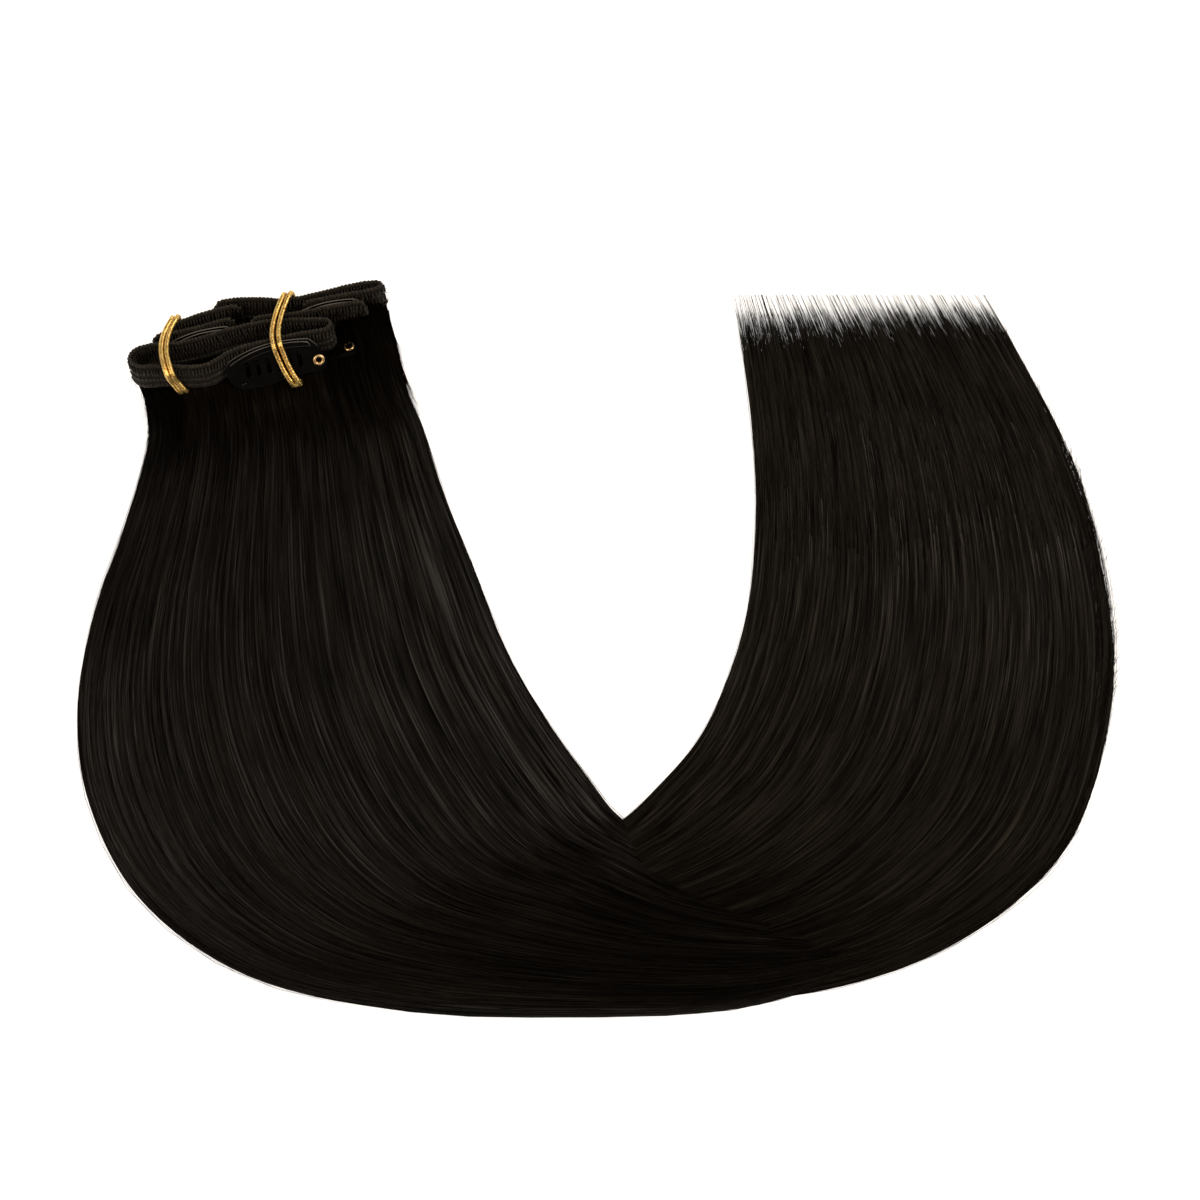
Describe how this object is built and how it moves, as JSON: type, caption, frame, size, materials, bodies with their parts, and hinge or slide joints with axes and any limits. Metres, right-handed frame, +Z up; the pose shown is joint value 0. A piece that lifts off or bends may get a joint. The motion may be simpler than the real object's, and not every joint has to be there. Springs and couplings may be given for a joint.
{
  "type": "clip-in hair extension",
  "caption": "Long straight dark fall of hair lying in a U, on folded stitched wefts with snap clips, tied with gold elastics.",
  "frame": {"origin": "middle of the bounding box, on the surface that the hair lies on", "axes": "+X from the wefts' side of the bend to the tips' side, +Y from the bottom of the bend towards the wefts and the tips, +Z up off the surface"},
  "size_m": [0.3312, 0.235, 0.0273],
  "materials": {
    "hair": "satin",
    "weft_thread": "matte",
    "black_lacquer": "gloss",
    "brass": "polished",
    "gold_elastic": "metallic"
  },
  "bodies": {
    "root": {"hair_fall": "hair", "front_weft": "weft_thread", "middle_weft": "weft_thread", "rear_weft": "weft_thread", "right_weft": "weft_thread", "looped_weft": "weft_thread", "left_tie": "gold_elastic", "right_tie": "gold_elastic", "front_clip_comb": "black_lacquer", "front_clip_spring": "black_lacquer", "front_clip_eyelet": "brass", "front_clip_rivet": "black_lacquer", "under_clip_comb": "black_lacquer", "under_clip_spring": "black_lacquer", "under_clip_eyelet": "brass", "under_clip_rivet": "black_lacquer", "right_clip_comb": "black_lacquer", "right_clip_spring": "black_lacquer", "right_clip_eyelet": "brass", "right_clip_rivet": "black_lacquer", "middle_clip_comb": "black_lacquer", "middle_clip_spring": "black_lacquer", "middle_clip_eyelet": "brass", "middle_clip_rivet": "black_lacquer"}
  },
  "joints": []
}
